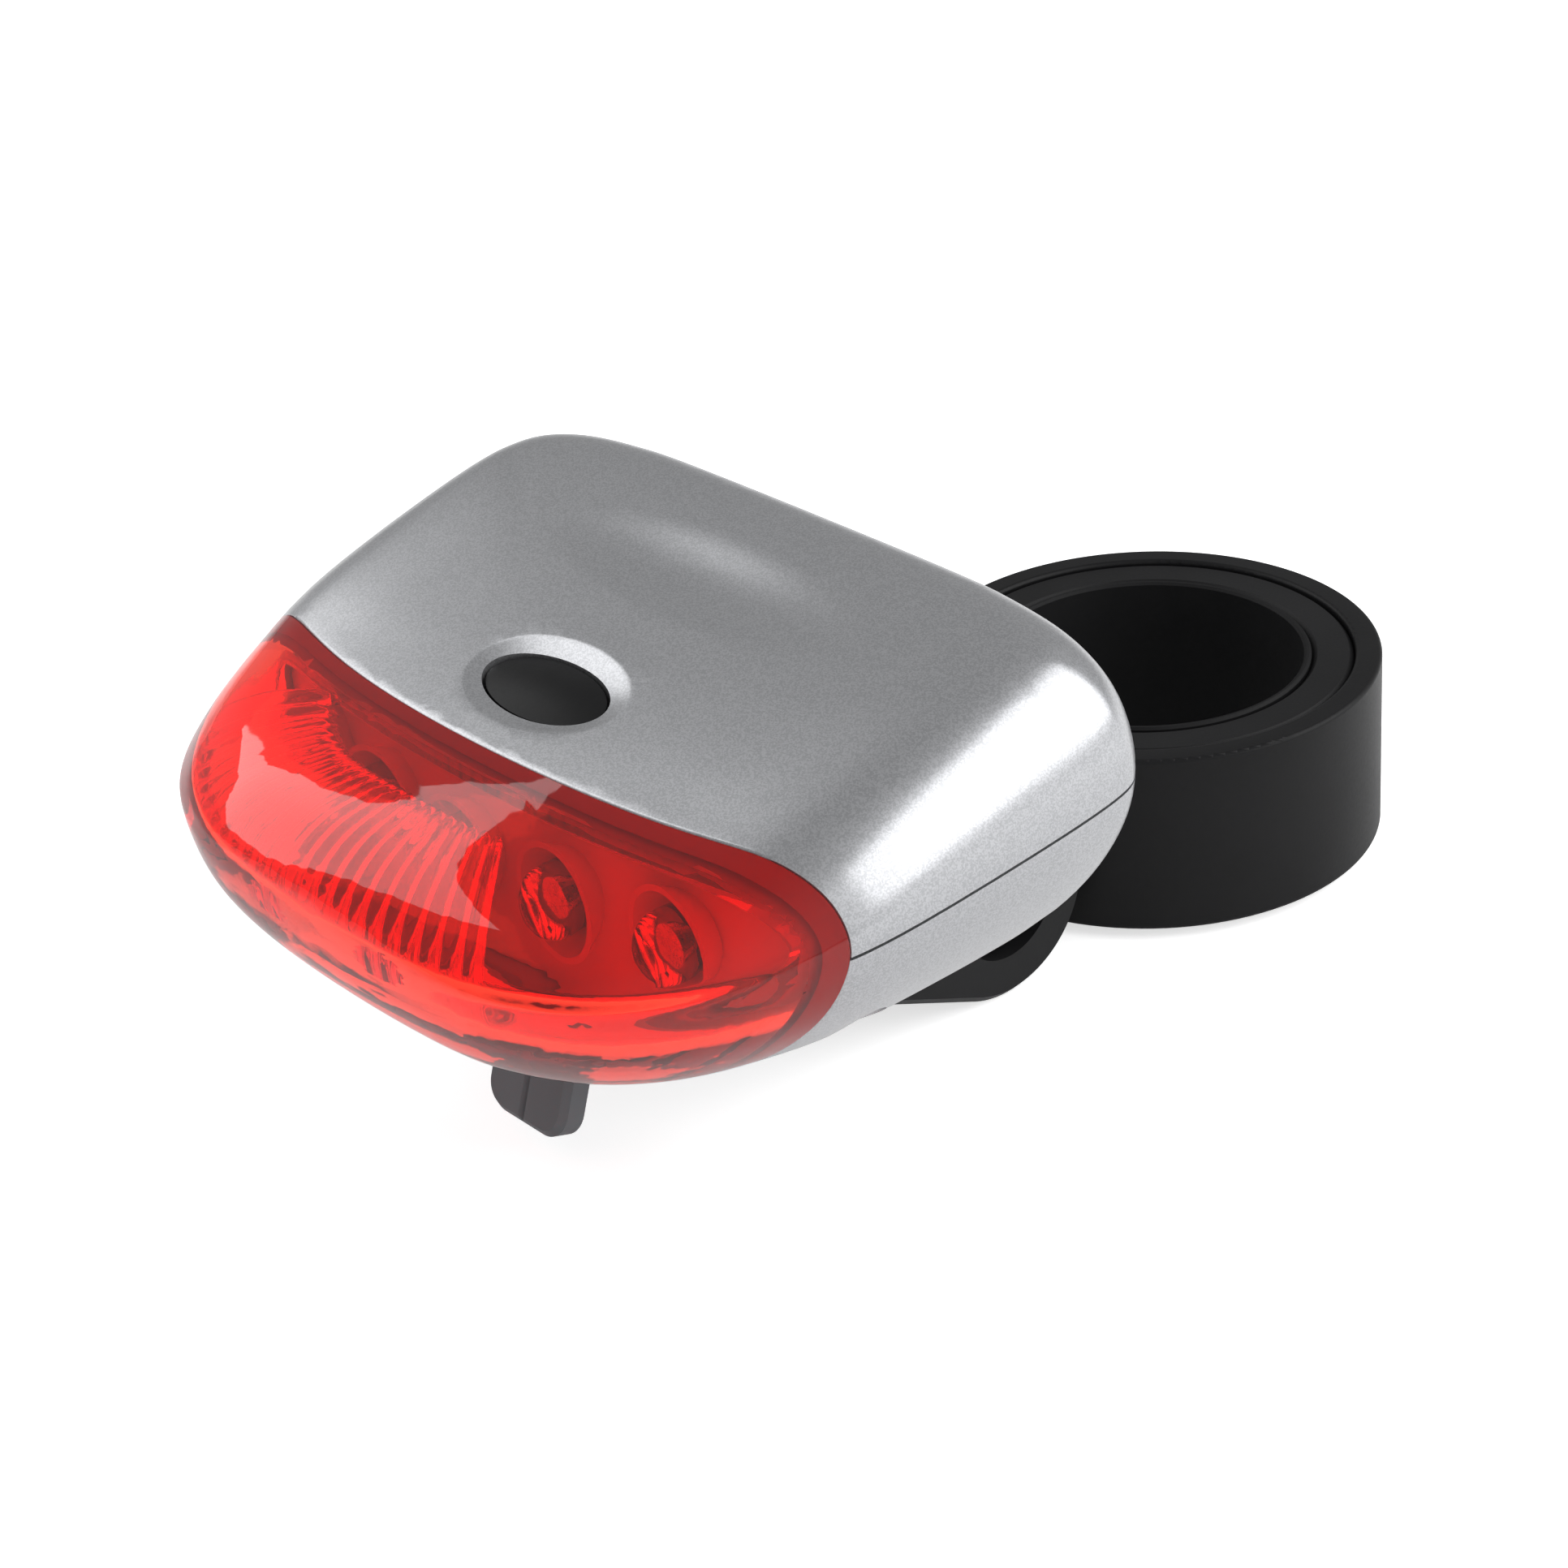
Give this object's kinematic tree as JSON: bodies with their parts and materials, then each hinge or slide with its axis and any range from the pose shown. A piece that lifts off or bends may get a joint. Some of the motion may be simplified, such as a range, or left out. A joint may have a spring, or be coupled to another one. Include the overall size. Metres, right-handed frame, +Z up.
{
  "type": "bicycle rear light",
  "caption": "Rounded rear light with a red lens and a push button, on a slide-in shoe and a tilting arm that clamps to a seat post.",
  "frame": {"origin": "centre of the seat post bore at half the clamp band's height", "axes": "+Z up along the seat post bore, the lens faces -Y, X runs across the light"},
  "size_m": [0.0724, 0.1075, 0.0438],
  "materials": {
    "silver_paint": "satin silver lacquer on moulded plastic",
    "red_lens": "clear red polycarbonate, polished",
    "black_nylon": "moulded glass-filled nylon",
    "black_shim": "moulded nylon, satin",
    "black_rubber": "moulded rubber",
    "steel": "zinc plated steel",
    "black_steel": "black zinc plated steel",
    "spring_steel": "nickel plated spring steel",
    "bright_plastic": "white moulded ABS, glossy",
    "led_epoxy": "tinted epoxy",
    "board": "glass epoxy laminate with green mask",
    "black_plastic": "moulded plastic",
    "cell_jacket": "printed sleeve over a steel can"
  },
  "bodies": {
    "clamp": {"clamp_band": "black_nylon", "reducer_shim": "black_shim", "rubber_liner": "black_rubber", "tilt_washers": "black_nylon"},
    "bracket": {"bracket_arm": "black_nylon", "clamp_nut": "steel", "bolt_washer": "black_steel"},
    "bolt": {"clamp_bolt": "black_steel"},
    "tongue": {"release_tongue": "black_nylon"},
    "light": {"lower_shell": "silver_paint", "upper_shell": "silver_paint", "housing_seal": "black_rubber", "housing_screws": "steel", "lens": "red_lens", "reflector": "bright_plastic", "leds": "led_epoxy", "led_leads": "spring_steel", "led_holder": "black_plastic", "circuit_board": "board", "switch_body": "black_plastic", "driver_chip": "black_plastic", "resistors": "black_plastic", "battery_cell_front": "cell_jacket", "battery_cell_rear": "cell_jacket", "battery_spring_front": "spring_steel", "battery_spring_rear": "spring_steel", "battery_bridge": "spring_steel", "battery_terminals": "spring_steel", "battery_tray": "black_plastic"},
    "button": {"push_button": "black_rubber", "switch_plunger": "black_plastic"}
  },
  "joints": [
    {"name": "arm_tilt", "type": "hinge", "parent": "clamp", "child": "bracket", "pos_m": [0, -0.0288, 0], "axis": [1, 0, 0], "range_deg": [-20, 20]},
    {"name": "bolt_turn", "type": "hinge", "parent": "bracket", "child": "bolt", "pos_m": [0, -0.0288, 0], "axis": [1, 0, 0], "continuous": true},
    {"name": "tongue_press", "type": "hinge", "parent": "bracket", "child": "tongue", "pos_m": [0, -0.0489, 0.00365], "axis": [1, 0, 0], "range_deg": [0, 6], "stiffness_Nm_per_rad": 1.2, "springref_deg": -1.15},
    {"name": "light_release", "type": "slide", "parent": "bracket", "child": "light", "axis": [0, -1, 0], "range_m": [0, 0.024], "deforming": ["release_tongue"]},
    {"name": "button_press", "type": "slide", "parent": "light", "child": "button", "axis": [0, 0, -1], "range_m": [0, 0.0006], "stiffness_N_per_m": 3000, "springref_m": -0.0002}
  ]
}
